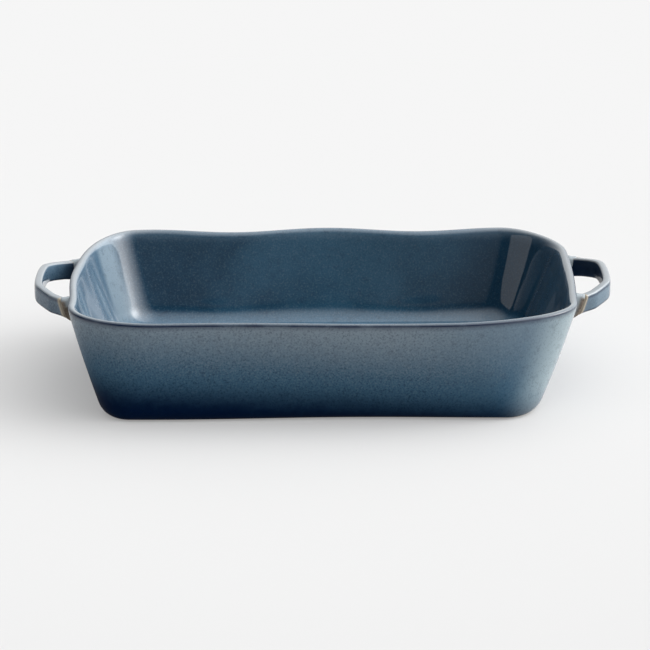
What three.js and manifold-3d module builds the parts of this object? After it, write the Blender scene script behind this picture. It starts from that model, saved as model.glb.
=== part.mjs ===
// Glazed stoneware baking dish: a pressed rectangular body with a hand-formed rim, and two strap
// handles luted to its ends with slip. Millimetres, +Z up, +X along the dish. The origin is the middle
// of the footprint, on the surface that the dish stands on. -Y is the front.
import * as THREE from "three";
import Module from "manifold-3d";

const wasm = await Module();
wasm.setup();

// Body: the plan at the rim before it is bowed and waved, and how far each wall leans in to the foot
const RIM_LENGTH = 357;
const RIM_WIDTH = 241.6;
const RIM_HEIGHT = 75;
const END_LEAN = 25;
const SIDE_LEAN = 16;
const FOOT_SHIFT = -2; // how far the foot sits off the rim's middle, along X
const WALL_BELLY = 0.2; // share of the lean that the lower wall gathers, which makes it slightly convex

// Corner reaches, [along the side, along the end], at the rim and at the foot. Formed by hand, they differ.
const CORNERS = {
  backRight: { rim: [44, 58], foot: [36, 38] },
  backLeft: { rim: [36, 72], foot: [34, 36] },
  frontLeft: { rim: [70, 54], foot: [30, 30] },
  frontRight: { rim: [92, 52], foot: [44, 36] },
};

// Walls and floor
const RIM_THICKNESS = 6;
const WALL_THICKNESS = 7.5; // where the wall meets the floor
const LIP_OUTER_DROP = 2.6;
const LIP_INNER_DROP = 5;
const FLOOR_TOP = 8;
const FLOOR_FILLET = 14;
const FOOT_FILLET = 8;
const FOOT_RING_WIDTH = 9;
const FOOT_RECESS = 1.5;
const FOOT_BEVEL = 1.5;

// Hand-formed waves: the back wall and its rim bow out and undulate, the front and end rims swell out in
// places, and the foot is pinched in. Each wave has its length and the place of one crest, along the wall.
const BACK_WAVE = 2.3;
const BACK_WAVE_LENGTH = 136;
const BACK_WAVE_CREST = 3;
const BACK_BOW = 4;
const RIM_RISE = 0.8;
const FRONT_WAVE = 2.2;
const FRONT_WAVE_LENGTH = 260;
const FRONT_WAVE_CREST = 55;
const FOOT_PINCH = 1.7;
const FOOT_PINCH_LENGTH = 250;
const FOOT_PINCH_MIDDLE = 22;
const END_BOW = 3;
const END_WAVE = 1.6;
const LEFT_WAVE_LENGTH = 130;
const LEFT_WAVE_CREST = 5;
const RIGHT_WAVE_LENGTH = 260;
const RIGHT_WAVE_CREST = 40;
const WAVE_FADE = 4; // power by which a wall's wave dies out round the corners
const MIDDLE_SHIFT = (FRONT_WAVE - BACK_WAVE - BACK_BOW) / 2; // keeps the origin in the plan's middle

// Handles: a flat strap, bent out from the end wall and back, with flared feet
const HANDLE_REACH = 21.5; // end wall to the strap's centre line
const HANDLE_HALF_SPAN = 48; // middle of the handle to each foot, along the end wall
const BAR_HALF_LENGTH = 26; // middle of the handle to the outer bend
const BEND_SIZE = 5;
const HANDLE_RISE = 3.6; // how much higher the outer bar is than the feet
const STUB_LENGTH = 6; // the foot stands square to the wall for this far
const STRAP_THICKNESS = 6.2;
const STRAP_HEIGHT = 13.5;
const FOOT_SPREAD = 1.5; // how much thicker the strap is at its foot
const FOOT_DROP = 1; // how much deeper the strap is at its foot
const FLARE_LENGTH = 10;
const STRAP_BELOW_RIM = 2.6; // rim to the top of the strap at its feet
const STRAP_SQUARENESS = 5; // exponent of the section's superellipse

// Slip joints: the pad of slip that each foot is pressed into, a little wider than the foot
const SLIP_THICKNESS = 6.5;
const SLIP_MARGIN = 0.6;
const SLIP_RUN = 6; // how far the slip runs down the wall below the foot, thinning out
const SLIP_TIP = 0.8; // thickness of the slip where it ends
const SLIP_SQUARENESS = 2.4;
const SEAT_GAP = 0.3; // clearance between pieces that seat on each other
const TRIM_MARGIN = 2; // how far a cutting solid reaches past what it cuts

// Facets
const CORNER_STEPS = 8;
const SIDE_STEPS = 20;
const END_STEPS = 12;
const WALL_STEPS = 5;
const ROUND_STEPS = 4;
const STRAP_STEPS = 36;
const SECTION_STEPS = 20;

const glaze = new THREE.MeshStandardMaterial({ color: 0x41596c, roughness: 0.18, metalness: 0 });
const bareClay = new THREE.MeshStandardMaterial({ color: 0x7d6a58, roughness: 0.8, metalness: 0 });

const mix = THREE.MathUtils.lerp;
const wave = (place, crest, length) => Math.cos((2 * Math.PI * (place - crest)) / length);
const powerKeepingSign = (value, power) => Math.sign(value) * Math.abs(value) ** power;

// The share of its lean that the outer wall has at a height: 0 at the rim and 1 at the foot.
function leanShare(height) {
  const depth = 1 - height / RIM_HEIGHT;
  return depth * (1 - WALL_BELLY + WALL_BELLY * depth);
}

// The rectangle with a quarter-ellipse at each corner, anticlockwise from the right end's front.
function cornerOutline(halfLength, halfWidth, reach) {
  const points = [];
  const run = (from, to, steps) => {
    for (let i = 0; i < steps; i++) {
      points.push([mix(from[0], to[0], i / steps), mix(from[1], to[1], i / steps)]);
    }
  };
  const round = ([reachX, reachY], signX, signY, startAngle) => {
    for (let i = 0; i < CORNER_STEPS; i++) {
      const angle = startAngle + ((Math.PI / 2) * i) / CORNER_STEPS;
      points.push([
        signX * (halfLength - reachX) + reachX * Math.cos(angle),
        signY * (halfWidth - reachY) + reachY * Math.sin(angle),
      ]);
    }
  };
  const { backRight, backLeft, frontLeft, frontRight } = reach;
  run([halfLength, frontRight[1] - halfWidth], [halfLength, halfWidth - backRight[1]], END_STEPS);
  round(backRight, 1, 1, 0);
  run([halfLength - backRight[0], halfWidth], [backLeft[0] - halfLength, halfWidth], SIDE_STEPS);
  round(backLeft, -1, 1, Math.PI / 2);
  run([-halfLength, halfWidth - backLeft[1]], [-halfLength, frontLeft[1] - halfWidth], END_STEPS);
  round(frontLeft, -1, -1, Math.PI);
  run([frontLeft[0] - halfLength, -halfWidth], [halfLength - frontRight[0], -halfWidth], SIDE_STEPS);
  round(frontRight, 1, -1, Math.PI * 1.5);
  return points;
}

// One level of the body as a ring of points: lean is 0 at the rim and 1 at the foot, and inset is the
// distance in from the outer wall. The waves of the rim fade towards the foot, and the pinch the other way.
function bodyRing({ lean, inset, height }) {
  const halfLength = RIM_LENGTH / 2 - END_LEAN * lean - inset;
  const halfWidth = RIM_WIDTH / 2 - SIDE_LEAN * lean - inset;
  const atRim = 1 - lean;
  const reach = Object.fromEntries(
    Object.entries(CORNERS).map(([name, { rim, foot }]) => [
      name,
      rim.map((rimReach, i) => mix(rimReach, foot[i], lean) - inset),
    ]),
  );
  return cornerOutline(halfLength, halfWidth, reach).map(([x, y]) => {
    const onEnd = Math.abs(x / halfLength) ** WAVE_FADE;
    const onSide = Math.abs(y / halfWidth) ** WAVE_FADE;
    const backWave = wave(x, BACK_WAVE_CREST, BACK_WAVE_LENGTH);
    const back = (BACK_BOW * (1 - (x / halfLength) ** 2) + BACK_WAVE * backWave) * atRim;
    const front = FRONT_WAVE * wave(x, FRONT_WAVE_CREST, FRONT_WAVE_LENGTH) * atRim;
    const pinch = FOOT_PINCH * wave(x, FOOT_PINCH_MIDDLE, FOOT_PINCH_LENGTH) * lean;
    const endWave =
      x > 0
        ? wave(y, RIGHT_WAVE_CREST, RIGHT_WAVE_LENGTH)
        : wave(y, LEFT_WAVE_CREST, LEFT_WAVE_LENGTH);
    const end = (END_BOW * (1 - (y / halfWidth) ** 2) + END_WAVE * endWave) * atRim;
    const behind = (1 + y / halfWidth) / 2;
    return new THREE.Vector3(
      x + Math.sign(x) * end * onEnd + FOOT_SHIFT * lean,
      y + (y > 0 ? back : pinch - front) * onSide + MIDDLE_SHIFT,
      height + RIM_RISE * backWave * behind * atRim ** 2,
    );
  });
}

// A closed geometry through rings of equally many points, each end closed by a fan to its own middle.
function loft(rings) {
  const count = rings[0].length;
  const middleOf = (ring) =>
    ring.reduce((sum, p) => sum.add(p), new THREE.Vector3()).divideScalar(count);
  const points = [...rings.flat(), middleOf(rings[0]), middleOf(rings.at(-1))];
  const startMiddle = points.length - 2;
  const endMiddle = points.length - 1;
  const lastRing = (rings.length - 1) * count;
  const triangles = [];
  for (let j = 0; j < count; j++) {
    const next = (j + 1) % count;
    triangles.push(startMiddle, next, j, endMiddle, lastRing + j, lastRing + next);
    for (let start = 0; start < lastRing; start += count) {
      const [a, b] = [start + j, start + next];
      triangles.push(a, b, b + count, a, b + count, a + count);
    }
  }
  return new THREE.BufferGeometry().setFromPoints(points).setIndex(triangles);
}

// Boolean cuts
function solidOf(geometry) {
  const mesh = new wasm.Mesh({
    numProp: 3,
    vertProperties: geometry.getAttribute("position").array,
    triVerts: new Uint32Array(geometry.index.array),
  });
  return new wasm.Manifold(mesh);
}

function geometryOf(solid) {
  const { vertProperties, triVerts } = solid.getMesh();
  return new THREE.BufferGeometry()
    .setAttribute("position", new THREE.BufferAttribute(vertProperties, 3))
    .setIndex(new THREE.BufferAttribute(triVerts, 1));
}

// Dish body: the profile runs from the recess under the foot, up the outer wall, over the lip, down
// the inner wall and across the floor.
const curvePoints = (from, through, to) =>
  new THREE.QuadraticBezierCurve(
    new THREE.Vector2(...from),
    new THREE.Vector2(...through),
    new THREE.Vector2(...to),
  ).getPoints(ROUND_STEPS);

function dishBody() {
  const footInset = FOOT_FILLET + FOOT_RING_WIDTH;
  const stations = [
    { lean: 1, inset: footInset + FOOT_BEVEL, height: FOOT_RECESS },
    { lean: 1, inset: footInset, height: 0 },
  ];

  // Rounded foot, from the ring's outer edge into the wall
  for (const p of curvePoints([FOOT_FILLET, 0], [0, 0], [0, FOOT_FILLET])) {
    const lean = mix(1, leanShare(FOOT_FILLET), p.y / FOOT_FILLET);
    stations.push({ lean, inset: p.x, height: p.y });
  }

  // Outer wall
  const wallTop = RIM_HEIGHT - LIP_OUTER_DROP;
  for (let i = 1; i < WALL_STEPS; i++) {
    const height = mix(FOOT_FILLET, wallTop, i / WALL_STEPS);
    stations.push({ lean: leanShare(height), inset: 0, height });
  }

  // Lip: a tight outer round and a softer inner one
  const innerTop = RIM_HEIGHT - LIP_INNER_DROP;
  const crest = [RIM_THICKNESS / 2, RIM_HEIGHT];
  const outerRound = curvePoints([0, wallTop], [0, RIM_HEIGHT], crest);
  const innerRound = curvePoints(crest, [RIM_THICKNESS, RIM_HEIGHT], [RIM_THICKNESS, innerTop]);
  for (const p of [...outerRound, ...innerRound.slice(1)]) {
    stations.push({ lean: leanShare(p.y), inset: p.x, height: p.y });
  }

  // Inner wall, which thickens towards the floor
  const filletTop = FLOOR_TOP + FLOOR_FILLET;
  const wallAt = (height) =>
    mix(WALL_THICKNESS, RIM_THICKNESS, (height - FLOOR_TOP) / (innerTop - FLOOR_TOP));
  for (let i = 1; i < WALL_STEPS; i++) {
    const height = mix(innerTop, filletTop, i / WALL_STEPS);
    stations.push({ lean: leanShare(height), inset: wallAt(height), height });
  }

  // Rounded meeting of wall and floor
  const filletWall = wallAt(filletTop);
  const fillet = curvePoints(
    [filletWall, filletTop],
    [WALL_THICKNESS, FLOOR_TOP],
    [WALL_THICKNESS + FLOOR_FILLET, FLOOR_TOP],
  );
  for (const p of fillet) {
    stations.push({ lean: leanShare(p.y), inset: p.x, height: p.y });
  }
  return loft(stations.map(bodyRing));
}

// Everything within the outer wall and an offset out from it, as one solid to trim the handles by. It
// reaches past the handles' feet above and below.
const STRAP_MIDDLE = RIM_HEIGHT - STRAP_BELOW_RIM - STRAP_HEIGHT / 2;
const SLIP_BOTTOM = STRAP_MIDDLE - STRAP_HEIGHT / 2 - FOOT_DROP - SLIP_RUN;
const TRIM_BELOW = SLIP_BOTTOM - TRIM_MARGIN;
const TRIM_ABOVE = RIM_HEIGHT + SLIP_MARGIN + TRIM_MARGIN;

function bodyEnvelope(offsetAt) {
  const heights = [TRIM_BELOW, SLIP_BOTTOM];
  for (let i = 0; i <= WALL_STEPS; i++) {
    heights.push(mix(SLIP_BOTTOM + SLIP_RUN, RIM_HEIGHT, i / WALL_STEPS));
  }
  heights.push(TRIM_ABOVE);
  const levels = heights.map((height) => ({
    lean: leanShare(Math.min(height, RIM_HEIGHT)),
    inset: -offsetAt(height),
    height,
  }));
  return solidOf(loft(levels.map(bodyRing)));
}

// Slip thickness at a height: full behind the handle's foot, and thinning to its tip below it.
const slipAt = (height) =>
  mix(SLIP_TIP, SLIP_THICKNESS, THREE.MathUtils.clamp((height - SLIP_BOTTOM) / SLIP_RUN, 0, 1));

// Handle strap: its centre line from foot to foot, with the end wall at x = 0 and the feet at z = 0. Each
// end of it runs on into the wall, past the wall's lean and waves, and is trimmed off.
const BURIED =
  END_BOW + END_WAVE + (END_LEAN + Math.abs(FOOT_SHIFT)) * leanShare(SLIP_BOTTOM) + TRIM_MARGIN;

function strapLine() {
  const half = [
    [-BURIED, HANDLE_HALF_SPAN, 0],
    [STUB_LENGTH / 3, HANDLE_HALF_SPAN, 0],
    [STUB_LENGTH, HANDLE_HALF_SPAN - BEND_SIZE / 5, 0],
    [HANDLE_REACH - 0.7 * BEND_SIZE, BAR_HALF_LENGTH + BEND_SIZE, 0.8 * HANDLE_RISE],
    [HANDLE_REACH, BAR_HALF_LENGTH - 0.6 * BEND_SIZE, HANDLE_RISE],
  ];
  const front = half.map(([out, along, rise]) => new THREE.Vector3(out, -along, rise));
  const back = half.map(([out, along, rise]) => new THREE.Vector3(out, along, rise)).reverse();
  return new THREE.CatmullRomCurve3([...front, ...back], false, "centripetal");
}

// Superellipse rings along a stretch of the strap line, sized by the distance out from the slip.
function strapRings(from, to, steps, section) {
  const line = strapLine();
  const length = line.getLength();
  const up = new THREE.Vector3(0, 0, 1);
  const rings = [];
  for (let i = 0; i <= steps; i++) {
    const share = mix(from, to, i / steps);
    const middle = line.getPointAt(share);
    const sideways = up.clone().cross(line.getTangentAt(share)).normalize();
    const fromFoot = Math.max(Math.min(share, 1 - share) * length - BURIED - SLIP_THICKNESS, 0);
    const { thickness, above, below, squareness } = section(fromFoot);
    const ring = [];
    for (let k = 0; k < SECTION_STEPS; k++) {
      const angle = (2 * Math.PI * k) / SECTION_STEPS;
      const across = (thickness / 2) * powerKeepingSign(Math.cos(angle), 2 / squareness);
      const rise = Math.sin(angle);
      const tall = (rise > 0 ? above : below) * powerKeepingSign(rise, 2 / squareness);
      ring.push(middle.clone().addScaledVector(sideways, across).addScaledVector(up, tall));
    }
    rings.push(ring);
  }
  return rings;
}

const flareAt = (fromFoot) => Math.max(1 - fromFoot / FLARE_LENGTH, 0) ** 2;

function strapSection(fromFoot) {
  const flare = flareAt(fromFoot);
  return {
    thickness: STRAP_THICKNESS + FOOT_SPREAD * flare,
    above: STRAP_HEIGHT / 2,
    below: STRAP_HEIGHT / 2 + FOOT_DROP * flare,
    squareness: STRAP_SQUARENESS,
  };
}

function slipSection() {
  const foot = strapSection(0);
  return {
    thickness: foot.thickness + 2 * SLIP_MARGIN,
    above: foot.above + SLIP_MARGIN,
    below: foot.below + SLIP_RUN,
    squareness: SLIP_SQUARENESS,
  };
}

// Puts strap-line coordinates at an end of the dish: the right end, or half a turn round to the left end.
function atEnd(geometry, end) {
  const placed = geometry.clone();
  placed.translate(RIM_LENGTH / 2 + END_BOW, 0, STRAP_MIDDLE);
  return end > 0 ? placed : placed.rotateZ(Math.PI);
}

function handle(end, seat) {
  const strap = loft(strapRings(0, 1, STRAP_STEPS, strapSection));
  return geometryOf(solidOf(atEnd(strap, end)).subtract(seat));
}

// Share of the strap line that a slip pad's own short stretch takes, from the buried end outwards.
const SLIP_STRETCH = (BURIED + SLIP_THICKNESS + STUB_LENGTH) / strapLine().getLength();

function slipJoint(end, side, wall, slipFace) {
  const rings =
    side * end < 0
      ? strapRings(0, SLIP_STRETCH, ROUND_STEPS, slipSection)
      : strapRings(1 - SLIP_STRETCH, 1, ROUND_STEPS, slipSection);
  return geometryOf(solidOf(atEnd(loft(rings), end)).intersect(slipFace).subtract(wall));
}

// Assembly
const dish = new THREE.Group();
const addPiece = (name, geometry, material) => {
  const piece = new THREE.Mesh(geometry, material);
  piece.name = name;
  dish.add(piece);
};

const wall = bodyEnvelope(() => SEAT_GAP);
const slipFace = bodyEnvelope((height) => SEAT_GAP + slipAt(height));
const handleSeat = bodyEnvelope((height) => 2 * SEAT_GAP + slipAt(height));

addPiece("dish_body", dishBody(), glaze);
for (const [endName, end] of [["left", -1], ["right", 1]]) {
  addPiece(`${endName}_handle`, handle(end, handleSeat), glaze);
  for (const [sideName, side] of [["front", -1], ["back", 1]]) {
    addPiece(`${endName}_${sideName}_slip_joint`, slipJoint(end, side, wall, slipFace), bareClay);
  }
}

export default dish;
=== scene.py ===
"""Looks of a glazed stoneware baking dish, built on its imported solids. Metres, +Z up, -Y is the front."""

import math

import bpy
import numpy as np
from mathutils import Matrix, Vector


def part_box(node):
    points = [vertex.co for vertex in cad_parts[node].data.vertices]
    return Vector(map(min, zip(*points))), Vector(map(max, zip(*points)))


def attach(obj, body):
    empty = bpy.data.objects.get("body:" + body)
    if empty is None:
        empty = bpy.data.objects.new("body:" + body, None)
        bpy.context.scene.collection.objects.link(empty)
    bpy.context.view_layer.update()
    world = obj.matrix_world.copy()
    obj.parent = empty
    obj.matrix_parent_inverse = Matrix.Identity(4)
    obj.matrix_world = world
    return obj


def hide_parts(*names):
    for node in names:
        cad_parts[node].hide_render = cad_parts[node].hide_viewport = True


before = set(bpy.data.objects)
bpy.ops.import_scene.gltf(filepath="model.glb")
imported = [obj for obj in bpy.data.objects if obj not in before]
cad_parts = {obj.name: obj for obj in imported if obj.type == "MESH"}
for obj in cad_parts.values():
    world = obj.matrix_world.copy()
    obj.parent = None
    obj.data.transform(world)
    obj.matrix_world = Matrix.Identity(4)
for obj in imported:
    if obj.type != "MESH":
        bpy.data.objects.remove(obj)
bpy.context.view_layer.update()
handle_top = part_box("right_handle")[1].z

# Body, as in the solids: the rim's plan before it is bowed and waved, and how far the walls lean in
RIM_LENGTH = 0.357
RIM_WIDTH = 0.2416
RIM_HEIGHT = 0.075
END_LEAN = 0.025
SIDE_LEAN = 0.016
FOOT_SHIFT = -0.002
WALL_BELLY = 0.2
# Corner reaches, (along the side, along the end), at the rim and at the foot. The foot's front corners
# are tighter than the solids'
CORNERS = {
    "back_right": ((0.044, 0.058), (0.036, 0.038)),
    "back_left": ((0.036, 0.072), (0.034, 0.036)),
    "front_left": ((0.070, 0.054), (0.020, 0.026)),
    "front_right": ((0.092, 0.052), (0.024, 0.030)),
}
TIGHTEST_CORNER = 0.008
RIM_THICKNESS = 0.006
WALL_THICKNESS = 0.0075
LIP_OUTER_DROP = 0.0026
LIP_INNER_DROP = 0.005
FLOOR_TOP = 0.008
FLOOR_FILLET = 0.014
FOOT_FILLET = 0.008
FOOT_RING_WIDTH = 0.009
FOOT_RECESS = 0.0015
FOOT_BEVEL = 0.0015
# The foot ring's inner edge is eased by this much, and its flat is kept flat this near its two edges
RING_EASE = 0.0004
RING_EASE_HEIGHT = 0.0003
RING_INNER_FLAT = 0.003
RING_OUTER_FLAT = 0.001

# Waves of the hand-formed walls, each with its length and the place of one crest
BACK_WAVE = 0.0023
BACK_WAVE_LENGTH = 0.136
BACK_WAVE_CREST = 0.003
BACK_BOW = 0.004
RIM_RISE = 0.0008
FRONT_WAVE = 0.0022
FRONT_WAVE_LENGTH = 0.26
FRONT_WAVE_CREST = 0.055
FOOT_PINCH = 0.0017
FOOT_PINCH_LENGTH = 0.25
FOOT_PINCH_MIDDLE = 0.022
END_BOW = 0.003
END_WAVE = 0.0016
LEFT_WAVE_LENGTH = 0.13
LEFT_WAVE_CREST = 0.005
RIGHT_WAVE_LENGTH = 0.26
RIGHT_WAVE_CREST = 0.04
WAVE_FADE = 4
MIDDLE_SHIFT = (FRONT_WAVE - BACK_WAVE - BACK_BOW) / 2

# Dents left by hands: each is (waves round the dish, size, phase, twist up the wall). They turn from the
# outer to the inner size over a stretch of the lip, and fade out above the floor
WOBBLES = ((6, 1.0, 0.7, 1.1), (13, 0.5, 2.0, 1.6), (25, 0.2, 4.1, -2.4))
INNER_WOBBLE = 0.00035
OUTER_WOBBLE = 0.00015
WOBBLE_TURN = 0.006
WOBBLE_FADE = 0.02

# Bands along the lip, in distances from its crest, positive towards the inside: the pale edge, partly wear
# and partly painted highlight, the dark line outside, partly a glaze break and partly a painted dark
# reflection, and the stretch where the outer colour turns to the inner one
WORN_AND_SHEEN_PLACE = 0.0006
WORN_AND_SHEEN_WIDTH = 0.0024
BREAK_AND_SHADE_PLACE = -0.003
BREAK_AND_SHADE_WIDTH = 0.0017
COLOUR_TURN = 0.004

# Handles: the top of the strap's bar comes from its solid, and the feet are lower
HANDLE_RISE = 0.0036
STRAP_TOP = handle_top - HANDLE_RISE
STRAP_HEIGHT = 0.0135
STRAP_THICKNESS = 0.0062
HANDLE_REACH = 0.0215
HANDLE_HALF_SPAN = 0.048
BAR_HALF_LENGTH = 0.026
BEND_SIZE = 0.005
STUB_LENGTH = 0.006
STUB_DRAW = BEND_SIZE / 5
BEND_DRAW = 0.7 * BEND_SIZE
BEND_RISE = 0.8 * HANDLE_RISE
BAR_DRAW = 0.6 * BEND_SIZE
FOOT_SPREAD = 0.0015
FOOT_DROP = 0.001
FLARE_LENGTH = 0.010
STRAP_SQUARENESS = 4.5
END_X = RIM_LENGTH / 2 + END_BOW

# Bands round the strap's section, whose half-sizes are 1: the pale top, partly wear and partly painted
# highlight, the dark shoulder outside just under it and the dark lower corners, both partly a glaze break
# and partly painted shade, and how the outer colour turns to the inner one
WORN_AND_SHEEN_TOP_START = 0.8
WORN_AND_SHEEN_TOP_FADE = 0.12
SHOULDER_PLACE = 0.7
SHOULDER_WIDTH = 0.13
SHOULDER_SHARE = 0.8
LOWER_CORNER_START = 0.55
LOWER_CORNER_FADE = 0.3
LOWER_CORNER_SHARPNESS = 3
STRAP_INNER_SHARE = 0.85
STRAP_INNER_SLOPE = 0.45

# Slip between a handle's foot and the wall
SLIP_THICKNESS = 0.0065
SLIP_RUN = 0.006
SLIP_MARGIN = 0.0006
SLIP_SQUARENESS = 2.6
SLIP_NARROWING = 0.75
SLIP_THINNEST = 0.1
SLIP_CROWN = 0.0002
STRAP_SEAT = 0.0052  # how far off the wall the strap starts, inside the slip
SLIP_SEAT = -0.001  # how far off the wall the slip starts, inside the wall
SEAM_INSET = 0.0008  # how far inside the slip the middle of the strap's bare line lies
SEAM_PLACE = SLIP_THICKNESS - STRAP_SEAT - SEAM_INSET
SEAM_WIDTH = 0.001
# The pad's rings: (off the wall, share of its full size)
SLIP_RINGS = (
    (SLIP_SEAT, 1.12),
    (0.001, 1.05),
    (0.0025, 1),
    (0.0045, 0.99),
    (0.0058, 0.96),
    (SLIP_THICKNESS, 0.88),
    (SLIP_THICKNESS + SLIP_CROWN, 0.6),
)
# How far down a pad the glaze reaches, from 1 at its top to -1 at its bottom: over its whole thickness,
# which depends on front or back, and beside the wall alone, which depends on left or right
FRONT_GLAZE_END = 0.6
BACK_GLAZE_END = -0.4
LEFT_GLAZE_END = 0.1
RIGHT_GLAZE_END = -1
GLAZE_END_FADE = 0.3
WALL_GLAZE_REACH = 0.005
WALL_GLAZE_FADE = 0.002

# Fineness of the meshes
CORNER_STEPS = 20
SIDE_STEPS = 60
END_STEPS = 36
FOOT_FILLET_STEPS = 10
OUTER_WALL_STEPS = 25
OUTER_LIP_STEPS = 8
INNER_LIP_STEPS = 10
INNER_WALL_STEPS = 19
FLOOR_FILLET_STEPS = 14
FLAT_FILLS = (0.95, 0.8, 0.55, 0.25)
STRAP_STEPS = 150
CURVE_STEPS = 80
SECTION_STEPS = 44


def wave(place, crest, length):
    return np.cos(2 * np.pi * (place - crest) / length)


def bell(value, middle, width):
    return np.exp(-(((value - middle) / width) ** 2))


def smooth(value):
    value = np.clip(value, 0, 1)
    return value * value * (3 - 2 * value)


def keep_sign(value, power):
    return np.sign(value) * np.abs(value) ** power


def lean_share(height):
    """The share of its lean that the outer wall has at a height: 0 at the rim and 1 at the foot."""
    depth = 1 - height / RIM_HEIGHT
    return depth * (1 - WALL_BELLY + WALL_BELLY * depth)


def loft(name, rings, values):
    """A closed mesh object through rings of equally many points, with one float attribute per named value.

    A value has a number for each ring and each of its points, or a shape that spreads to that."""
    rings = np.asarray(rings)
    levels, count = rings.shape[:2]
    points = np.concatenate([rings.reshape(-1, 3), [rings[0].mean(axis=0)], [rings[-1].mean(axis=0)]])
    here = np.arange(count)
    after = (here + 1) % count
    quads = [
        np.stack([here + i * count, after + i * count, after + (i + 1) * count, here + (i + 1) * count], 1)
        for i in range(levels - 1)
    ]
    first, last = len(points) - 2, len(points) - 1
    end = (levels - 1) * count
    caps = [(first, b, a) for a, b in zip(here, after)]
    caps += [(last, end + a, end + b) for a, b in zip(here, after)]
    mesh = bpy.data.meshes.new(name)
    mesh.from_pydata(points.tolist(), [], np.concatenate(quads).tolist() + caps)
    for key, value in values.items():
        spread = np.broadcast_to(np.asarray(value, dtype=np.float32), (levels, count))
        flat = np.concatenate([spread.ravel(), [spread[0].mean()], [spread[-1].mean()]])
        mesh.attributes.new(key, "FLOAT", "POINT").data.foreach_set("value", flat)
    mesh.polygons.foreach_set("use_smooth", np.ones(len(mesh.polygons), dtype=bool))
    piece = bpy.data.objects.new(name, mesh)
    bpy.context.scene.collection.objects.link(piece)
    return piece


# Body
def corner_outline(half_length, half_width, reach):
    """The rectangle with a quarter-ellipse at each corner, anticlockwise from the right end's front."""
    points = []

    def run(start, end, steps):
        for share in np.arange(steps) / steps:
            points.append(np.add(start, np.subtract(end, start) * share))

    def turn(corner, sign_x, sign_y, start_angle):
        reach_x, reach_y = reach[corner]
        for share in np.arange(CORNER_STEPS) / CORNER_STEPS:
            angle = start_angle + math.pi / 2 * share
            x = sign_x * (half_length - reach_x) + reach_x * math.cos(angle)
            y = sign_y * (half_width - reach_y) + reach_y * math.sin(angle)
            points.append((x, y))

    back_right, back_left = reach["back_right"], reach["back_left"]
    front_left, front_right = reach["front_left"], reach["front_right"]
    run((half_length, front_right[1] - half_width), (half_length, half_width - back_right[1]), END_STEPS)
    turn("back_right", 1, 1, 0)
    run((half_length - back_right[0], half_width), (back_left[0] - half_length, half_width), SIDE_STEPS)
    turn("back_left", -1, 1, math.pi / 2)
    run((-half_length, half_width - back_left[1]), (-half_length, front_left[1] - half_width), END_STEPS)
    turn("front_left", -1, -1, math.pi)
    run((front_left[0] - half_length, -half_width), (half_length - front_right[0], -half_width), SIDE_STEPS)
    turn("front_right", 1, -1, math.pi * 1.5)
    return np.array(points)


def end_swell(end, y, half_width):
    """How far an end's rim swells out: end is 1 at the right and -1 at the left."""
    right = wave(y, RIGHT_WAVE_CREST, RIGHT_WAVE_LENGTH)
    left = wave(y, LEFT_WAVE_CREST, LEFT_WAVE_LENGTH)
    return END_BOW * (1 - (y / half_width) ** 2) + END_WAVE * np.where(end > 0, right, left)


def body_ring(lean, inset, height):
    """One level of the body: lean is 0 at the rim and 1 at the foot, inset the way in from the wall."""
    half_length = RIM_LENGTH / 2 - END_LEAN * lean - inset
    half_width = RIM_WIDTH / 2 - SIDE_LEAN * lean - inset
    at_rim = 1 - lean
    reach = {
        name: [max(top + (low - top) * lean - inset, TIGHTEST_CORNER) for top, low in zip(rim, foot)]
        for name, (rim, foot) in CORNERS.items()
    }
    x, y = corner_outline(half_length, half_width, reach).T
    on_end = np.abs(x / half_length) ** WAVE_FADE
    on_side = np.abs(y / half_width) ** WAVE_FADE
    back_wave = wave(x, BACK_WAVE_CREST, BACK_WAVE_LENGTH)
    front = FRONT_WAVE * wave(x, FRONT_WAVE_CREST, FRONT_WAVE_LENGTH) * at_rim
    pinch = FOOT_PINCH * wave(x, FOOT_PINCH_MIDDLE, FOOT_PINCH_LENGTH) * lean
    back = (BACK_BOW * (1 - (x / half_length) ** 2) + BACK_WAVE * back_wave) * at_rim
    side = np.where(y > 0, back, pinch - front)
    end = end_swell(np.sign(x), y, half_width) * at_rim
    behind = (1 + y / half_width) / 2
    return np.stack(
        [
            x + np.sign(x) * end * on_end + FOOT_SHIFT * lean,
            y + side * on_side + MIDDLE_SHIFT,
            height + RIM_RISE * back_wave * behind * at_rim**2,
        ],
        axis=1,
    )


def curve_points(start, through, end, steps):
    """Points on a quadratic curve, without its first one."""
    t = np.arange(1, steps + 1)[:, None] / steps
    start, through, end = (np.array(p) for p in (start, through, end))
    return (1 - t) ** 2 * start + 2 * t * (1 - t) * through + t**2 * end


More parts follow.
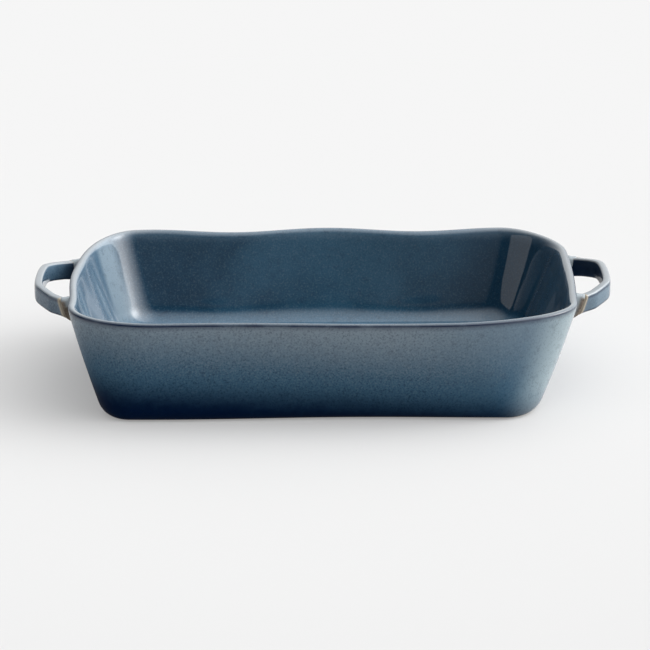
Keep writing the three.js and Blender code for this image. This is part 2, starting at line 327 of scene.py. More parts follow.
def body_profile():
    """Stations of (lean, inset, height), and the lip's crest among them.

    They go from the recess under the foot, up the outer wall, over the lip, down the inner wall and on to
    the floor."""
    ring_inset = FOOT_FILLET + FOOT_RING_WIDTH
    stations = [
        (1, ring_inset + 2 * FOOT_BEVEL, FOOT_RECESS),
        (1, ring_inset + FOOT_BEVEL, FOOT_RECESS),
        (1, ring_inset + RING_EASE, RING_EASE_HEIGHT),
        (1, ring_inset - RING_EASE, 0),
        (1, ring_inset - RING_INNER_FLAT, 0),
        (1, FOOT_FILLET + RING_OUTER_FLAT, 0),
        (1, FOOT_FILLET, 0),
    ]
    for inset, height in curve_points((FOOT_FILLET, 0), (0, 0), (0, FOOT_FILLET), FOOT_FILLET_STEPS):
        lean = 1 + (lean_share(FOOT_FILLET) - 1) * height / FOOT_FILLET
        stations.append((lean, inset, height))

    wall_top = RIM_HEIGHT - LIP_OUTER_DROP
    for height in np.linspace(FOOT_FILLET, wall_top, OUTER_WALL_STEPS + 1)[1:]:
        stations.append((lean_share(height), 0, height))

    inner_top = RIM_HEIGHT - LIP_INNER_DROP
    crest = (RIM_THICKNESS / 2, RIM_HEIGHT)
    lip_inside = (RIM_THICKNESS, inner_top)
    outer_round = curve_points((0, wall_top), (0, RIM_HEIGHT), crest, OUTER_LIP_STEPS)
    inner_round = curve_points(crest, (RIM_THICKNESS, RIM_HEIGHT), lip_inside, INNER_LIP_STEPS)
    crest_index = len(stations) + len(outer_round) - 1
    stations += [(lean_share(z), inset, z) for inset, z in [*outer_round, *inner_round]]

    def wall_at(height):
        share = (height - FLOOR_TOP) / (inner_top - FLOOR_TOP)
        return WALL_THICKNESS + (RIM_THICKNESS - WALL_THICKNESS) * share

    fillet_top = FLOOR_TOP + FLOOR_FILLET
    for height in np.linspace(inner_top, fillet_top, INNER_WALL_STEPS + 1)[1:]:
        stations.append((lean_share(height), wall_at(height), height))
    fillet_start = (wall_at(fillet_top), fillet_top)
    corner = (WALL_THICKNESS, FLOOR_TOP)
    floor_edge = (WALL_THICKNESS + FLOOR_FILLET, FLOOR_TOP)
    for inset, height in curve_points(fillet_start, corner, floor_edge, FLOOR_FILLET_STEPS):
        stations.append((lean_share(height), inset, height))
    return np.array(stations), crest_index


def hand_wobble(ring, amount):
    """A ring with its points moved in and out a little, as hands leave a wall."""
    ahead = np.roll(ring, -1, axis=0)
    length = np.cumsum(np.linalg.norm(ahead - ring, axis=1))
    turns = 2 * np.pi * length / length[-1]
    height = ring[:, 2] / RIM_HEIGHT
    dents = sum(
        size * np.sin(count * turns + phase + twist * height)
        for count, size, phase, twist in WOBBLES
    )
    way = ahead - np.roll(ring, 1, axis=0)
    way /= np.linalg.norm(way, axis=1)[:, None]
    outwards = np.stack([way[:, 1], -way[:, 0], 0 * dents], axis=1)
    return ring + outwards * (dents * amount)[:, None]


def make_body():
    stations, crest_index = body_profile()
    across = stations[:, 1] + END_LEAN * stations[:, 0]
    steps = np.hypot(np.diff(across), np.diff(stations[:, 2]))
    along = np.concatenate([[0], np.cumsum(steps)])
    from_crest = along - along[crest_index]
    inner_share = smooth(from_crest / WOBBLE_TURN)
    on_wall = smooth((stations[:, 2] - FLOOR_TOP) / WOBBLE_FADE)
    amounts = (OUTER_WOBBLE + (INNER_WOBBLE - OUTER_WOBBLE) * inner_share) * on_wall
    rings = [hand_wobble(body_ring(*station), amount) for station, amount in zip(stations, amounts)]
    # The lip's pale edge is partly wear and partly painted highlight, and its dark line outside partly a
    # glaze break and partly a painted dark reflection
    values = {
        "edge": bell(from_crest, WORN_AND_SHEEN_PLACE, WORN_AND_SHEEN_WIDTH),
        "inside": smooth(from_crest / COLOUR_TURN + 0.5),
        "break_and_shade": bell(from_crest, BREAK_AND_SHADE_PLACE, BREAK_AND_SHADE_WIDTH),
    }

    # The flat underside and floor are filled by smaller copies of their outer rings
    under, floor = rings[0], rings[-1]
    middle_under, middle_floor = under.mean(axis=0), floor.mean(axis=0)
    below = [middle_under + (under - middle_under) * fill for fill in reversed(FLAT_FILLS)]
    above = [middle_floor + (floor - middle_floor) * fill for fill in FLAT_FILLS]
    rings = below + rings + above
    values = {key: np.pad(value, len(FLAT_FILLS), mode="edge")[:, None] for key, value in values.items()}
    return loft("glazed_body", rings, values)


# Handles and their slip
def end_wall_x(end, y, z):
    """How far out an end's outer wall is, for a point of its straight stretch."""
    lean = lean_share(np.minimum(z, RIM_HEIGHT))
    swell = end_swell(end, y, RIM_WIDTH / 2 - SIDE_LEAN * lean) * (1 - lean)
    return RIM_LENGTH / 2 - END_LEAN * lean + swell + end * FOOT_SHIFT * lean


def knot_tangent(before, here, after, gap_before, gap_after):
    """A smooth line's tangent at a point, from its neighbours and the gaps to them."""
    arriving = (here - before) / gap_before
    leaving = (after - here) / gap_after
    return arriving - (after - before) / (gap_before + gap_after) + leaving


def smooth_line(points, samples):
    """Points evenly along the centripetal curve through the given ones, with unit tangents and distances."""
    points = np.array(points)
    padded = np.concatenate([[2 * points[0] - points[1]], points, [2 * points[-1] - points[-2]]])
    t = np.linspace(0, 1, CURVE_STEPS, endpoint=False)[:, None]
    fine = []
    for before, start, stop, after in zip(padded, padded[1:], padded[2:], padded[3:]):
        pairs = ((before, start), (start, stop), (stop, after))
        gap_before, gap, gap_after = (math.sqrt(math.dist(a, b)) for a, b in pairs)
        leaving = knot_tangent(before, start, stop, gap_before, gap) * gap
        arriving = knot_tangent(start, stop, after, gap, gap_after) * gap
        fine.append(
            (2 * t**3 - 3 * t**2 + 1) * start
            + (t**3 - 2 * t**2 + t) * leaving
            + (3 * t**2 - 2 * t**3) * stop
            + (t**3 - t**2) * arriving
        )
    fine = np.concatenate([*fine, points[-1:]])
    length = np.concatenate([[0], np.cumsum(np.linalg.norm(np.diff(fine, axis=0), axis=1))])
    even = np.linspace(0, length[-1], samples)
    line = np.stack([np.interp(even, length, fine[:, k]) for k in range(3)], axis=1)
    tangent = np.gradient(line, axis=0)
    return line, tangent / np.linalg.norm(tangent, axis=1)[:, None], even


def section(squareness):
    """A superellipse of half-size 1: how far across and how tall each of its points is."""
    angle = 2 * np.pi * np.arange(SECTION_STEPS) / SECTION_STEPS
    across = keep_sign(np.cos(angle), 2 / squareness)
    tall = keep_sign(np.sin(angle), 2 / squareness)
    return across, tall


def strap_values(across, tall, from_foot):
    shoulder = bell(tall, SHOULDER_PLACE, SHOULDER_WIDTH) * (across < 0) * SHOULDER_SHARE
    to_corner = np.minimum(np.abs(across), np.abs(tall))
    corner = smooth((to_corner - LOWER_CORNER_START) / LOWER_CORNER_FADE)
    lower_corner = corner**LOWER_CORNER_SHARPNESS * (tall < 0)
    # The strap's pale top is partly wear and partly painted highlight, its dark shoulder and lower corners
    # partly a glaze break and partly painted shade, and its inner face carries painted shade
    return {
        "edge": smooth((tall - WORN_AND_SHEEN_TOP_START) / WORN_AND_SHEEN_TOP_FADE),
        "break_and_shade": np.maximum(lower_corner, shoulder),
        "seam": bell(from_foot, SEAM_PLACE, SEAM_WIDTH)[:, None],
        "inside": smooth(STRAP_INNER_SHARE + STRAP_INNER_SLOPE * across),
        "inner_shade": smooth(across),
    }


def make_handle(name, end):
    """The strap at one end, swept from foot to foot. Both feet follow the wall."""
    half = [
        (STRAP_SEAT, HANDLE_HALF_SPAN, 0),
        (STUB_LENGTH, HANDLE_HALF_SPAN - STUB_DRAW, 0),
        (HANDLE_REACH - BEND_DRAW, BAR_HALF_LENGTH + BEND_SIZE, BEND_RISE),
        (HANDLE_REACH, BAR_HALF_LENGTH - BAR_DRAW, HANDLE_RISE),
    ]
    front = [(END_X + out, -along, rise) for out, along, rise in half]
    back = [(END_X + out, along, rise) for out, along, rise in reversed(half)]
    line, tangent, along = smooth_line(front + back, STRAP_STEPS)
    across, tall = section(STRAP_SQUARENESS)
    from_foot = np.minimum(along, along[-1] - along)
    flare = np.clip(1 - from_foot / FLARE_LENGTH, 0, 1) ** 2
    rings = []
    for point, direction, spread, distance in zip(line, tangent, flare, from_foot):
        half_thick = (STRAP_THICKNESS + FOOT_SPREAD * spread) / 2
        flat = math.hypot(direction[0], direction[1])
        x = point[0] - direction[1] / flat * across * half_thick
        y = point[1] + direction[0] / flat * across * half_thick
        below = STRAP_HEIGHT / 2 + FOOT_DROP * spread
        middle = STRAP_TOP - STRAP_HEIGHT / 2 + point[2]
        z = middle + tall * np.where(tall > 0, STRAP_HEIGHT / 2, below)
        seat = end_wall_x(end, end * y, z) + STRAP_SEAT - line[0, 0]
        x = x + seat * (1 - smooth(distance / FLARE_LENGTH))
        rings.append(np.stack([end * x, end * y, z], axis=1))
    return loft(name, rings, strap_values(across, tall, from_foot))


def slip_glaze(end, side, tall):
    """The share of glaze on each point of a pad, ring by ring."""
    glaze_end = FRONT_GLAZE_END if side < 0 else BACK_GLAZE_END
    all_across = smooth((tall - glaze_end) / GLAZE_END_FADE)
    wall_glaze_end = LEFT_GLAZE_END if end < 0 else RIGHT_GLAZE_END
    offsets = np.array([offset for offset, _ in SLIP_RINGS])[:, None]
    by_wall = smooth((WALL_GLAZE_REACH - offsets) / WALL_GLAZE_FADE)
    return np.maximum(all_across, by_wall * smooth((tall - wall_glaze_end) / GLAZE_END_FADE + 0.5))


def make_slip(name, end, side):
    """The pad of slip on one handle's foot: rings from inside the wall out to the strap, thinning below."""
    across, tall = section(SLIP_SQUARENESS)
    foot_bottom = STRAP_TOP - STRAP_HEIGHT - FOOT_DROP
    middle = STRAP_TOP - STRAP_HEIGHT / 2
    half_thick = (STRAP_THICKNESS + FOOT_SPREAD) / 2 + SLIP_MARGIN
    above = STRAP_TOP + SLIP_MARGIN - middle
    below = middle - foot_bottom + SLIP_RUN
    narrow = 1 - SLIP_NARROWING * np.clip(-tall, 0, 1) ** 2
    rings = []
    for offset, size in SLIP_RINGS:
        y = end * side * HANDLE_HALF_SPAN + across * half_thick * narrow * size
        z = middle + tall * np.where(tall > 0, above, below) * size
        thin = np.clip((z - foot_bottom + SLIP_RUN) / SLIP_RUN, SLIP_THINNEST, 1)
        x = end_wall_x(end, end * y, z) + (offset * thin if offset > 0 else offset)
        rings.append(np.stack([end * x, end * y, z], axis=1))
    return loft(name, rings, {"glazed": slip_glaze(end, side, tall)})


# Materials
def srgb(red, green, blue):
    """A linear colour from 8-bit sRGB."""
    channels = [c / 255 for c in (red, green, blue)]
    return [c / 12.92 if c <= 0.04045 else ((c + 0.055) / 1.055) ** 2.4 for c in channels] + [1]


class Nodes:
    """Short calls for building the node tree of a material or of the world."""

    def __init__(self, owner):
        self.owner = owner
        owner.use_nodes = True
        self.tree = owner.node_tree
        self.shader = self.tree.nodes.get("Principled BSDF")
        self.place = self.add("ShaderNodeTexCoord").outputs["Object" if self.shader else "Generated"]

    def add(self, kind, inputs=None, **settings):
        node = self.tree.nodes.new(kind)
        for key, value in settings.items():
            setattr(node, key, value)
        for key, value in (inputs or {}).items():
            self.feed(node.inputs[key], value)
        return node

    def feed(self, socket, value):
        if isinstance(value, bpy.types.NodeSocket):
            self.tree.links.new(value, socket)
        else:
            socket.default_value = value

    def noise(self, scale, detail=2.0, roughness=0.5, distortion=0.0):
        inputs = {"Vector": self.place, "Scale": scale, "Detail": detail}
        inputs |= {"Roughness": roughness, "Distortion": distortion}
        return self.add("ShaderNodeTexNoise", inputs).outputs["Fac"]

    def value(self, name):
        return self.add("ShaderNodeAttribute", attribute_name=name).outputs["Fac"]

    def axis(self, letter):
        return self.add("ShaderNodeSeparateXYZ", {0: self.place}).outputs[letter]

    def math(self, operation, first, *others):
        """One math node, or a row of them where there are more than two values."""
        for other in others or (0.0,):
            first = self.add("ShaderNodeMath", {0: first, 1: other}, operation=operation).outputs[0]
        return first

    def spread(self, value, low, high, to_low=0.0, to_high=1.0):
        """A smooth step from to_low, where the value is low, to to_high, where it is high."""
        inputs = {"Value": value, "From Min": low, "From Max": high, "To Min": to_low, "To Max": to_high}
        return self.add("ShaderNodeMapRange", inputs, interpolation_type="SMOOTHSTEP").outputs[0]

    def mix(self, share, first, second):
        node = self.add("ShaderNodeMix", data_type="RGBA", clamp_factor=True)
        self.feed(node.inputs["Factor"], share)
        self.feed(node.inputs["A"], first)
        self.feed(node.inputs["B"], second)
        return node.outputs["Result"]

    def layers(self, colour, *coats):
        """A colour with others laid over it in turn, each (share, colour)."""
        for share, coat in coats:
            colour = self.mix(share, colour, coat)
        return colour

    def bump(self, height, strength, distance):
        inputs = {"Height": height, "Strength": strength, "Distance": distance}
        return self.add("ShaderNodeBump", inputs).outputs["Normal"]


# Glaze. A noise is (scale, detail, roughness, distortion). A range is (low, high) or (low, high, share at
# low, share at high), in metres along an axis unless it says otherwise
CLOUD = (11, 3, 0.55, 0.4)
MOTTLE = (160, 4, 0.6)
SPECKLE = (760, 3, 0.65)
LEVEL_WANDER = 0.009  # how far the mottle moves the level of the colours outside
LEVEL_TILT = 0.06  # how fast those levels sink towards the right, which makes the outside paler there as painted light from that side

# Inside: clouded navy, with painted shade darkening it towards both ends, painted light on the left end wall
# and on the floor, and painted reflection in the left back corner and under the lip.
# The slant of a place is its way to the back over its way to the side
NAVY = srgb(26, 63, 86)
CLOUD_NAVY = srgb(48, 88, 112)
CLOUD_RANGE = (0.3, 0.7)  # of the noise
# Painted shade, darkening the inside towards both ends
END_SHADE_NAVY = srgb(4, 40, 64)
END_SHADE_RANGE = (0.05, 0.13, 0.0, 0.45)
# Painted light on the left end wall, lit by the light from the right
LEFT_END_LIGHT = srgb(96, 124, 146)
LEFT_END_RANGE = (-0.12, -0.15)
LEFT_END_SLANT = (0.6, 0.7, 0.52, 0.0)
# Painted reflection in the left back corner of the inside
LEFT_CORNER_REFLECTION = srgb(146, 163, 174)
LEFT_CORNER_RANGE = (-0.13, -0.15)
LEFT_CORNER_START = (0.43, 0.5, 0.0, 0.7)  # of the slant
LEFT_CORNER_STOP = (0.6, 0.7, 1.0, 0.0)  # of the slant
# Painted light on the inner floor, which faces the light above
LIT_FLOOR_BLUE = srgb(64, 106, 134)
FLOOR_RANGE = (0.009, 0.02, 0.75, 0.0)
# Painted reflection under the lip inside
LIP_REFLECTION_BLUE = srgb(106, 128, 146)
LIP_RANGE = (0.066, 0.076, 0.0, 0.55)

# Outside: near black at the foot, partly the glaze's own tone and partly painted shade, then blue, with a
# slate haze up the wall, partly glaze and partly painted reflection, that weakens to the right, a painted
# highlight on the right front corner, painted shade on the left strap and painted light on the right one
# Near black at the foot, partly the glaze's own tone and partly painted shade
FOOT_DARK_AND_SHADE = srgb(1, 21, 50)
WALL_BLUE = srgb(54, 87, 110)
WALL_RANGE = (0.002, 0.032)
# A slate haze up the outer wall, partly the glaze's own and partly painted reflection of the floor
HAZE_AND_REFLECTION_SLATE = srgb(108, 124, 136)
HAZE_AND_REFLECTION_RANGE = (0.026, 0.08)
HAZE_AND_REFLECTION_WEAKENS = (0.03, 0.12, 1.0, 0.45)
# Painted highlight on the right front corner of the outside
FRONT_CORNER_HIGHLIGHT = srgb(152, 169, 174)
FRONT_CORNER_END = (0.117, 0.152, 0.0, 0.8)
FRONT_CORNER_DEPTH = (-0.055, -0.085)
FRONT_CORNER_HEIGHT = (0.003, 0.026, 0.4, 1.0)
# Painted shade on the left strap, on the side away from the light
LEFT_STRAP_SHADE = srgb(36, 58, 78)
LEFT_STRAP_SHADE_RANGE = (-0.175, -0.195, 0.0, 0.55)
# Painted light on the right strap, on the side towards the light
RIGHT_STRAP_LIGHT = srgb(150, 172, 184)
RIGHT_STRAP_LIGHT_RANGE = (0.182, 0.198, 0.0, 0.3)

# Marks all over: a dark mottle, and a grain of pale and dark specks that is weaker inside and at the right
MOTTLE_DARK = srgb(16, 42, 66)
MOTTLE_RANGE = (0.5, 0.75, 0.0, 0.25)  # of the noise
GRAIN_INSIDE = (0.0, 1.0, 1.0, 0.45)  # of the inside's share
GRAIN_WEAKENS = (0.06, 0.14, 1.0, 0.5)
PALE_SPECK = srgb(112, 130, 140)
PALE_SPECK_LEVEL = (0.005, 0.06)
PALE_SPECK_RANGE = (0.5, 0.68, 0.0, 0.5)  # of the noise
DARK_SPECK = srgb(8, 28, 50)
DARK_SPECK_RANGE = (0.49, 0.33, 0.0, 0.5)  # of the noise

# Edges: painted shade on the straps' inner faces, lip and strap tops paler, partly worn and partly painted
# highlight, darker lines below them, partly a glaze break and partly painted shade and reflection, and bare
# clay at the seams and on the foot ring
# Painted shade on the straps' inner faces, strongest on the right strap and near the left wall
INNER_STRAP_SHADE = srgb(2, 16, 42)
INNER_STRAP_SHADE_RANGE = (-0.198, -0.182, 0.1, 0.86)
# Pale lip and strap tops, partly wear and partly painted highlight
WORN_AND_SHEEN_PALE = srgb(152, 158, 162)
WORN_AND_SHEEN_RANGE = (0.1, 0.165, 0.12, 0.8)
# Dark lines below the lip and strap tops, partly a glaze break and partly painted shade and dark reflection
BREAK_AND_SHADE_DARK = srgb(8, 30, 58)
BREAK_AND_SHADE_NOISE = (60, 3)
BREAK_AND_SHADE_RANGE = (0.3, 0.6, 0.75, 1.0)  # of the noise
SEAM_TAN = srgb(168, 154, 130)
FOOT_CLAY = srgb(158, 134, 108)
FOOT_CLAY_RANGE = (0.0007, 0.0012, 1.0, 0.0)
FOOT_CLAY_WANDER = 0.04  # as a share of the levels' wander

# Gloss: a glassy coat, weaker low on the outer wall but for its right end, inside the straps and on clay
ROUGHNESS_RANGE = (0.3, 0.7, 0.4, 0.5)  # of the mottle, to a roughness
CLAY_ROUGHNESS = 0.85
SATIN_LEVEL = (0.012, 0.085, 1.0, 0.2)
SATIN_END = (0.125, 0.152, 1.0, 0.1)
INNER_STRAP_SATIN = 0.9
COAT_ROUGHNESS = 0.05
COAT_IOR = 1.7
BASE_SPECULAR = 0.02
RELIEF = (45, 2)
FINE_RELIEF = (420, 2)
FINE_RELIEF_SHARE = 0.12
RELIEF_STRENGTH = 0.09
RELIEF_DEPTH = 0.0006


def inner_glaze(n, across, behind, height):
    from_middle = n.math("ABSOLUTE", across)
    slant = n.math("DIVIDE", behind, from_middle)
    cloud = n.spread(n.noise(*CLOUD), *CLOUD_RANGE)
    left_end_light = n.math("MULTIPLY", n.spread(across, *LEFT_END_RANGE), n.spread(slant, *LEFT_END_SLANT))
    left_corner_reflection = n.math(
        "MULTIPLY",
        n.spread(across, *LEFT_CORNER_RANGE),
        n.spread(slant, *LEFT_CORNER_START),
        n.spread(slant, *LEFT_CORNER_STOP),
    )
    # Painted shade towards both ends, painted light on the left end and the floor, painted reflection in the
    # left corner and under the lip
    return n.layers(
        n.mix(cloud, NAVY, CLOUD_NAVY),
        (n.spread(from_middle, *END_SHADE_RANGE), END_SHADE_NAVY),
        (left_end_light, LEFT_END_LIGHT),
        (left_corner_reflection, LEFT_CORNER_REFLECTION),
        (n.spread(height, *FLOOR_RANGE), LIT_FLOOR_BLUE),
        (n.spread(height, *LIP_RANGE), LIP_REFLECTION_BLUE),
    )


def outer_glaze(n, across, behind, height, level, towards_end):
    haze_and_reflection = n.math("MULTIPLY", n.spread(level, *HAZE_AND_REFLECTION_RANGE), n.spread(across, *HAZE_AND_REFLECTION_WEAKENS))
    front_corner_highlight = n.math(
        "MULTIPLY",
        n.spread(towards_end, *FRONT_CORNER_END),
        n.spread(behind, *FRONT_CORNER_DEPTH),
        n.spread(height, *FRONT_CORNER_HEIGHT),
    )
    # A foot that is partly painted shade, a haze that is partly painted reflection, a painted highlight on
    # the right front corner, painted shade on the left strap and painted light on the right one
    return n.layers(
        n.mix(n.spread(level, *WALL_RANGE), FOOT_DARK_AND_SHADE, WALL_BLUE),
        (haze_and_reflection, HAZE_AND_REFLECTION_SLATE),
        (front_corner_highlight, FRONT_CORNER_HIGHLIGHT),
        (n.spread(across, *LEFT_STRAP_SHADE_RANGE), LEFT_STRAP_SHADE),
        (n.spread(across, *RIGHT_STRAP_LIGHT_RANGE), RIGHT_STRAP_LIGHT),
    )


def speckled(n, colour, inside, mottle, across, level):
    """A colour with the mottle and the grain on it."""
    speckle = n.noise(*SPECKLE)
    grain = n.math("MULTIPLY", n.spread(inside, *GRAIN_INSIDE), n.spread(across, *GRAIN_WEAKENS))
    can_be_pale = n.math("MAXIMUM", inside, n.spread(level, *PALE_SPECK_LEVEL))
    pale = n.math("MULTIPLY", can_be_pale, grain, n.spread(speckle, *PALE_SPECK_RANGE))
    dark = n.math("MULTIPLY", grain, n.spread(speckle, *DARK_SPECK_RANGE))
    return n.layers(
        colour,
        (n.spread(mottle, *MOTTLE_RANGE), MOTTLE_DARK),
        (pale, PALE_SPECK),
        (dark, DARK_SPECK),
    )


def glaze_material():
    """Blue reactive glaze: navy inside, a slate haze up the outer wall that is partly painted reflection,
    and near black at the foot, partly the glaze's own tone and partly painted shade.
    """
    n = Nodes(bpy.data.materials.new("reactive_blue_glaze"))
    inside = n.value("inside")
    outside = n.math("SUBTRACT", 1.0, inside)
    across, behind, height = (n.axis(letter) for letter in "XYZ")
    # The way to the right without the end wall's lean, so that it is the same all the way up that wall
    towards_end = n.math("SUBTRACT", across, n.math("MULTIPLY", height, END_LEAN / RIM_HEIGHT))
    mottle = n.noise(*MOTTLE)
    wander = n.math("MULTIPLY", n.math("SUBTRACT", mottle, 0.5), LEVEL_WANDER)
    # The level rises towards the right, so that the outside is paler there, as painted light from that side
    level = n.math("ADD", height, wander, n.math("MULTIPLY", across, LEVEL_TILT))

    inner = inner_glaze(n, across, behind, height)
    outer = outer_glaze(n, across, behind, height, level, towards_end)
    colour = speckled(n, n.mix(inside, outer, inner), inside, mottle, across, level)
    # Painted shade inside the straps, pale edges partly worn and partly painted highlight, dark lines partly
    # broken glaze and partly painted shade
    inner_shade = n.math("MULTIPLY", n.value("inner_shade"), n.spread(across, *INNER_STRAP_SHADE_RANGE))
    worn_and_sheen = n.math("MULTIPLY", n.value("edge"), n.spread(n.math("ABSOLUTE", across), *WORN_AND_SHEEN_RANGE))
    broken_and_shaded = n.math("MULTIPLY", n.value("break_and_shade"), n.spread(n.noise(*BREAK_AND_SHADE_NOISE), *BREAK_AND_SHADE_RANGE))
    foot_level = n.math("ADD", height, n.math("MULTIPLY", wander, FOOT_CLAY_WANDER))
    bare = n.math("MULTIPLY", outside, n.spread(foot_level, *FOOT_CLAY_RANGE))
    colour = n.layers(
        colour,
        (inner_shade, INNER_STRAP_SHADE),
        (worn_and_sheen, WORN_AND_SHEEN_PALE),
        (broken_and_shaded, BREAK_AND_SHADE_DARK),
        (n.value("seam"), SEAM_TAN),
        (bare, FOOT_CLAY),
    )

    clay_roughness = n.math("MULTIPLY", bare, CLAY_ROUGHNESS)
    roughness = n.math("MAXIMUM", n.spread(mottle, *ROUGHNESS_RANGE), clay_roughness)
    satin = n.math("MULTIPLY", outside, n.spread(level, *SATIN_LEVEL), n.spread(towards_end, *SATIN_END))
    dull = n.math("MAXIMUM", bare, satin, n.math("MULTIPLY", inner_shade, INNER_STRAP_SATIN))
    fine_relief = n.math("MULTIPLY", n.noise(*FINE_RELIEF), FINE_RELIEF_SHARE)
    relief = n.math("ADD", n.noise(*RELIEF), fine_relief)
    normal = n.bump(relief, RELIEF_STRENGTH, RELIEF_DEPTH)
    n.feed(n.shader.inputs["Base Color"], colour)
    n.feed(n.shader.inputs["Roughness"], roughness)
    n.feed(n.shader.inputs["Coat Weight"], n.math("SUBTRACT", 1.0, dull))
    n.feed(n.shader.inputs["Coat Roughness"], COAT_ROUGHNESS)
    n.feed(n.shader.inputs["Coat IOR"], COAT_IOR)
    n.feed(n.shader.inputs["Specular IOR Level"], BASE_SPECULAR)
    n.feed(n.shader.inputs["Normal"], normal)
    n.feed(n.shader.inputs["Coat Normal"], normal)
    return n.owner


# Slip: bare brown clay, glazed where the pad's own value says so
SLIP_GRAIN = (320, 5, 0.65)
SLIP_GRAIN_RANGE = (0.3, 0.7)
SLIP_DARK = srgb(76, 66, 56)
SLIP_PALE = srgb(130, 118, 104)
SLIP_GLAZE = srgb(150, 160, 166)
SLIP_ROUGHNESS = (0.2, 0.8, 0.8, 0.15)  # of the share of glaze, to a roughness
SLIP_RELIEF_STRENGTH = 0.5
SLIP_RELIEF_DEPTH = 0.0008


def slip_material():
    n = Nodes(bpy.data.materials.new("bare_slip_clay"))
    grain = n.noise(*SLIP_GRAIN)
    glazed = n.value("glazed")
    clay = n.mix(n.spread(grain, *SLIP_GRAIN_RANGE), SLIP_DARK, SLIP_PALE)
    n.feed(n.shader.inputs["Base Color"], n.mix(glazed, clay, SLIP_GLAZE))
    n.feed(n.shader.inputs["Roughness"], n.spread(glazed, *SLIP_ROUGHNESS))
    n.feed(n.shader.inputs["Normal"], n.bump(grain, SLIP_RELIEF_STRENGTH, SLIP_RELIEF_DEPTH))
    return n.owner


# Floor: a disc of white paper
FLOOR_RADIUS = 9.0
FLOOR_POINTS = 96
PAPER_COLOUR = (0.63, 0.63, 0.63, 1)
PAPER_ROUGHNESS = 0.9
OWN_LIGHT_RANGE = (0.3, 1.1, 0.3, 1.0)  # of the distance from the dish
OWN_LIGHT_LEVEL = (-0.6, 0.0, 0.83, 0.92)  # from front to middle, to a strength


def floor_material():
    """White paper that takes the dish's shadow near it and, for what sees it, shines of itself further away.

    That own light falls a little towards the front."""
    n = Nodes(bpy.data.materials.new("pale_floor"))
    n.feed(n.shader.inputs["Base Color"], PAPER_COLOUR)
    n.feed(n.shader.inputs["Roughness"], PAPER_ROUGHNESS)
    n.feed(n.shader.inputs["Specular IOR Level"], 0)
    path = n.add("ShaderNodeLightPath").outputs
    seen = n.math("MAXIMUM", path["Is Camera Ray"], path["Is Glossy Ray"], path["Is Transmission Ray"])
    distance = n.add("ShaderNodeVectorMath", {0: n.place}, operation="LENGTH").outputs["Value"]
    far = n.math("MULTIPLY", seen, n.spread(distance, *OWN_LIGHT_RANGE))
    own_light = n.add("ShaderNodeEmission", {"Strength": n.spread(n.axis("Y"), *OWN_LIGHT_LEVEL)})
    both = n.add("ShaderNodeMixShader", {0: far, 1: n.shader.outputs[0], 2: own_light.outputs[0]})
    n.feed(n.tree.nodes["Material Output"].inputs["Surface"], both.outputs[0])
    return n.owner


def make_floor():
    around = np.linspace(0, 2 * np.pi, FLOOR_POINTS, endpoint=False)
    edge = np.stack([np.cos(around), np.sin(around), around * 0], axis=1) * FLOOR_RADIUS
    mesh = bpy.data.meshes.new("floor")
    mesh.from_pydata(edge.tolist(), [], [range(FLOOR_POINTS)])
    mesh.materials.append(floor_material())
    floor = bpy.data.objects.new("floor", mesh)
    bpy.context.scene.collection.objects.link(floor)
    return floor


# Light: a card on the left, and a studio with a broad soft light low on the right, a dim ceiling, a bright
# back wall, and little in front and on the left. The ceiling's range is of a direction's Z, and the two
# walls' ranges are of its Y
CARD_PLACE = Vector((-2.4, -1.0, 0.65))
CARD_AIM = Vector((0, -1.0, 0.65))
CARD_SIZE = (2.45, 1.3)
CARD_RADIANCE = 0.55
KEY_AIM = (0.88, 0.062, 0.47)
KEY_LEVEL = 3.4
KEY_NARROWNESS = 3
CORE_LEVEL = 5.0
CORE_NARROWNESS = 28
CEILING = (0.55, 0.9, 0, 1.0)
BACK_WALL = (0.3, 1.0, 0, 0.85)
FRONT_WALL = (-0.9, -0.97, 0, 0.16)
DARK_LEVEL = 0.02
WHITE = (1, 1, 1, 1)


def make_card():
    card = bpy.data.lights.new("left_card", "AREA")
    card.shape = "RECTANGLE"
    card.size, card.size_y = CARD_SIZE
    card.energy = CARD_RADIANCE * math.pi * card.size * card.size_y
    lamp = bpy.data.objects.new("left_card", card)
    lamp.location = CARD_PLACE
    lamp.rotation_euler = (CARD_AIM - CARD_PLACE).to_track_quat("-Z", "Y").to_euler()
    bpy.context.scene.collection.objects.link(lamp)


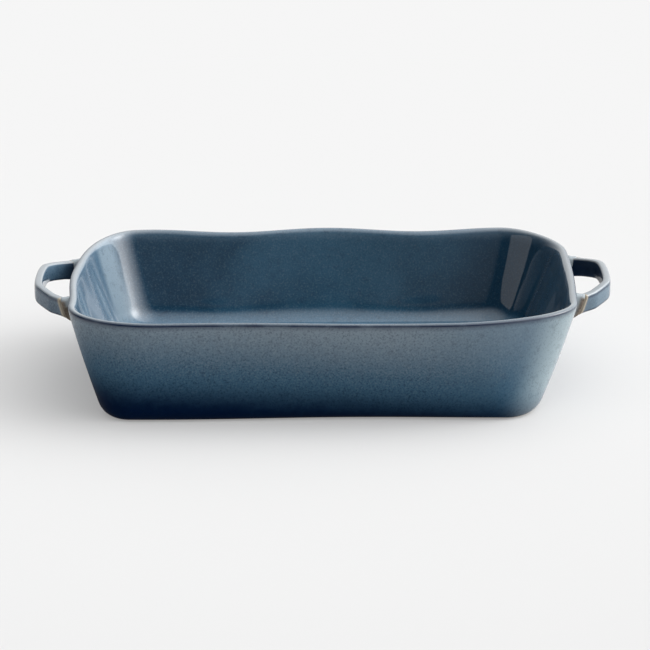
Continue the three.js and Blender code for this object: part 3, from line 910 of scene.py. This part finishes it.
def make_studio():
    world = bpy.data.worlds.new("studio")
    bpy.context.scene.world = world
    n = Nodes(world)
    towards_key = n.add("ShaderNodeVectorMath", {0: n.place, 1: KEY_AIM}, operation="DOT_PRODUCT")
    lit = n.math("MAXIMUM", towards_key.outputs["Value"], 0.0)
    key = n.math("MULTIPLY", n.math("POWER", lit, KEY_NARROWNESS), KEY_LEVEL)
    core = n.math("MULTIPLY", n.math("POWER", lit, CORE_NARROWNESS), CORE_LEVEL)
    ceiling = n.spread(n.axis("Z"), *CEILING)
    back_wall = n.spread(n.axis("Y"), *BACK_WALL)
    front_wall = n.spread(n.axis("Y"), *FRONT_WALL)
    background = n.tree.nodes["Background"]
    strength = n.math("ADD", key, core, ceiling, back_wall, front_wall, DARK_LEVEL)
    n.feed(background.inputs["Strength"], strength)
    n.feed(background.inputs["Color"], WHITE)


# Camera, from the photograph: its distance and height above the rim, its aim and its roll
CAMERA_DISTANCE = 2.1
CAMERA_ELEVATION = math.radians(16.4)
CAMERA_MIDDLE = Vector((0, -0.0026, RIM_HEIGHT))
CAMERA_AIM = Vector((0.0016, -0.0128, 0.0404))
CAMERA_ROLL = math.radians(-0.35)
SENSOR_WIDTH = 36
FOCAL_PIXELS = 2906
IMAGE_PIXELS = 650


def make_camera():
    data = bpy.data.cameras.new("camera")
    data.sensor_width = SENSOR_WIDTH
    data.lens = FOCAL_PIXELS / IMAGE_PIXELS * SENSOR_WIDTH
    camera = bpy.data.objects.new("camera", data)
    outwards = Vector((0, -math.cos(CAMERA_ELEVATION), math.sin(CAMERA_ELEVATION)))
    place = CAMERA_MIDDLE + outwards * CAMERA_DISTANCE
    back = (place - CAMERA_AIM).normalized()
    right = Vector((0, 0, 1)).cross(back).normalized()
    facing = Matrix((right, back.cross(right), back)).transposed().to_4x4()
    camera.matrix_world = Matrix.Translation(place) @ facing @ Matrix.Rotation(CAMERA_ROLL, 4, "Z")
    bpy.context.scene.collection.objects.link(camera)
    bpy.context.scene.camera = camera


# Pieces
def add_piece(piece, material, slot, *nodes):
    piece.data.materials.append(material)
    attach(piece, "root")
    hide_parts(*nodes)


glaze = glaze_material()
slip = slip_material()
add_piece(make_body(), glaze, "glaze", "dish_body")
for end_name, end in (("left", -1), ("right", 1)):
    add_piece(make_handle(f"{end_name}_strap", end), glaze, "glaze", f"{end_name}_handle")
    for side_name, side in (("front", -1), ("back", 1)):
        node = f"{end_name}_{side_name}_slip_joint"
        add_piece(make_slip(f"{end_name}_{side_name}_slip", end, side), slip, "bare_clay", node)

# Stage
make_floor()
make_card()
make_studio()
make_camera()
bpy.context.scene.view_settings.view_transform = "Standard"
